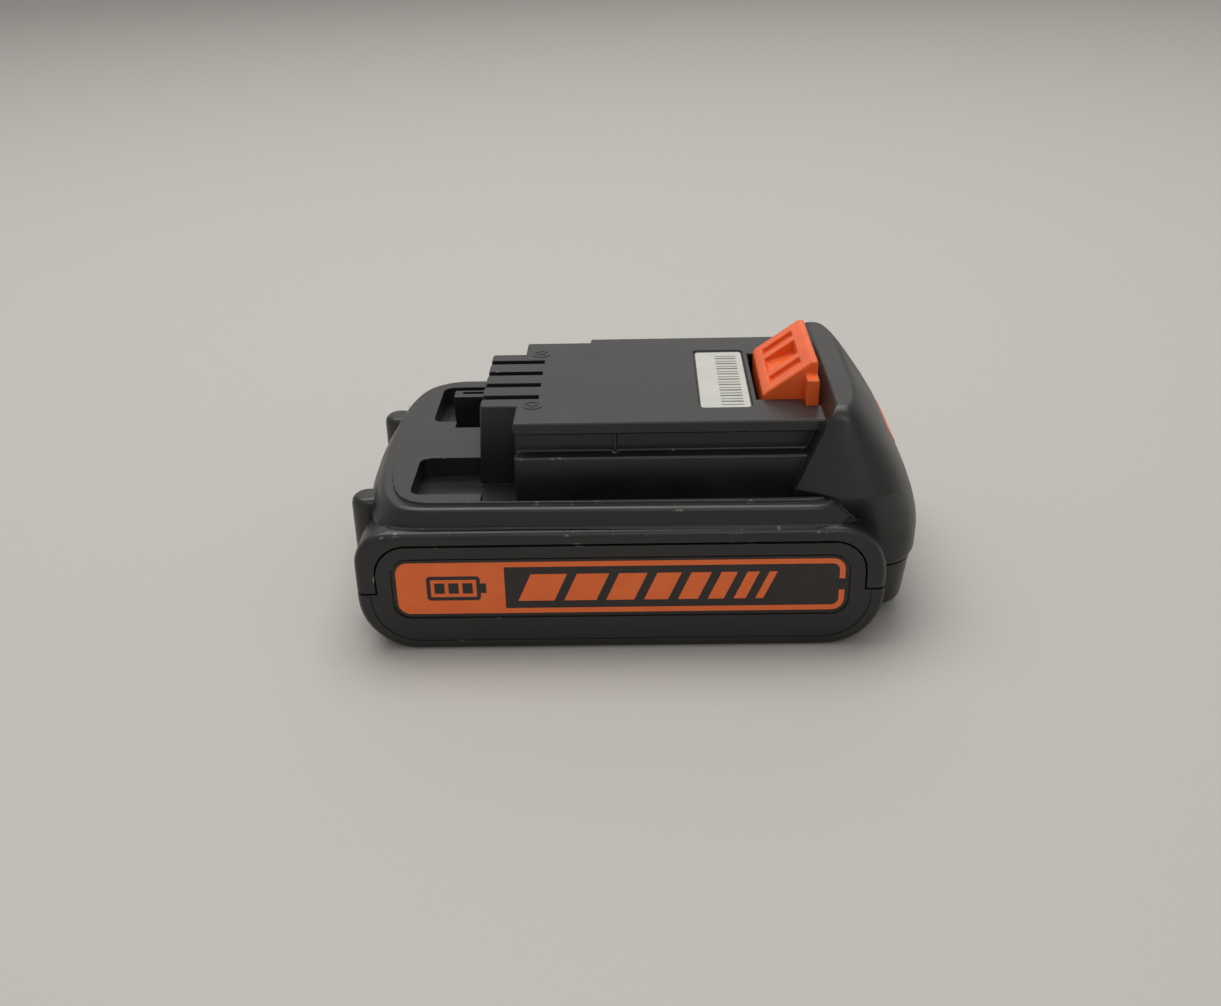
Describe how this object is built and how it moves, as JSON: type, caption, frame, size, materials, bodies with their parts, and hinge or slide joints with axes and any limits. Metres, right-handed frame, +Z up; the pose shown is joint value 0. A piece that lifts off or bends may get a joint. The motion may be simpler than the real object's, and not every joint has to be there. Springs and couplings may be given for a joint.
{
  "type": "slide-on tool battery pack",
  "caption": "Slide-on lithium battery pack for a cordless tool: moulded housing with a slide rail, terminal tower and sprung latch, over a row of cylindrical cells.",
  "frame": {"origin": "middle of the flat underside", "axes": "+X from the terminal tower to the release latch, +Z up from the underside to the rail; the pack slides into its tool along -X"},
  "size_m": [0.1197, 0.075, 0.0536],
  "materials": {
    "black_moulding": "satin",
    "orange_moulding": "satin",
    "label_film": "printed film",
    "white_film": "printed film",
    "cell_can": "nickel plated",
    "cell_sleeve": "shrink film",
    "holder_plastic": "moulded",
    "nickel_strip": "rolled",
    "insulator": "fibre sheet",
    "board": "solder mask",
    "resin": "moulded",
    "contact_metal": "tinned",
    "spring_steel": "bright wire",
    "screw_steel": "zinc plated"
  },
  "bodies": {
    "pack": {"bottom_housing": "black_moulding", "top_housing": "black_moulding", "latch_spring": "spring_steel", "side_label_near": "label_film", "serial_sticker": "white_film", "sense_connector": "black_moulding", "cell_1": "cell_can", "cell_2": "cell_can", "cell_3": "cell_can", "cell_4": "cell_can", "cell_5": "cell_can", "cell_sleeve_1": "cell_sleeve", "cell_sleeve_2": "cell_sleeve", "cell_sleeve_3": "cell_sleeve", "cell_sleeve_4": "cell_sleeve", "cell_sleeve_5": "cell_sleeve", "cell_holder_near": "holder_plastic", "cell_holder_far": "holder_plastic", "bus_strip_1": "nickel_strip", "bus_strip_2": "nickel_strip", "bus_strip_3": "nickel_strip", "bus_strip_4": "nickel_strip", "bus_strip_5": "nickel_strip", "bus_strip_6": "nickel_strip", "insulator_near": "insulator", "insulator_far": "insulator", "circuit_board": "board", "control_chip": "resin", "temperature_bead": "resin", "terminal_block": "black_moulding", "contact_clip_1": "contact_metal", "contact_clip_2": "contact_metal", "contact_clip_3": "contact_metal", "contact_clip_4": "contact_metal", "housing_screw_1": "screw_steel", "housing_screw_2": "screw_steel", "housing_screw_3": "screw_steel", "housing_screw_4": "screw_steel"},
    "latch": {"release_latch": "orange_moulding"}
  },
  "joints": [
    {"name": "latch_slide", "type": "slide", "parent": "pack", "child": "latch", "axis": [0, 0, -1], "range_m": [0, 0.005], "stiffness_N_per_m": 400, "springref_m": -0.004, "deforming": ["latch_spring"]}
  ]
}
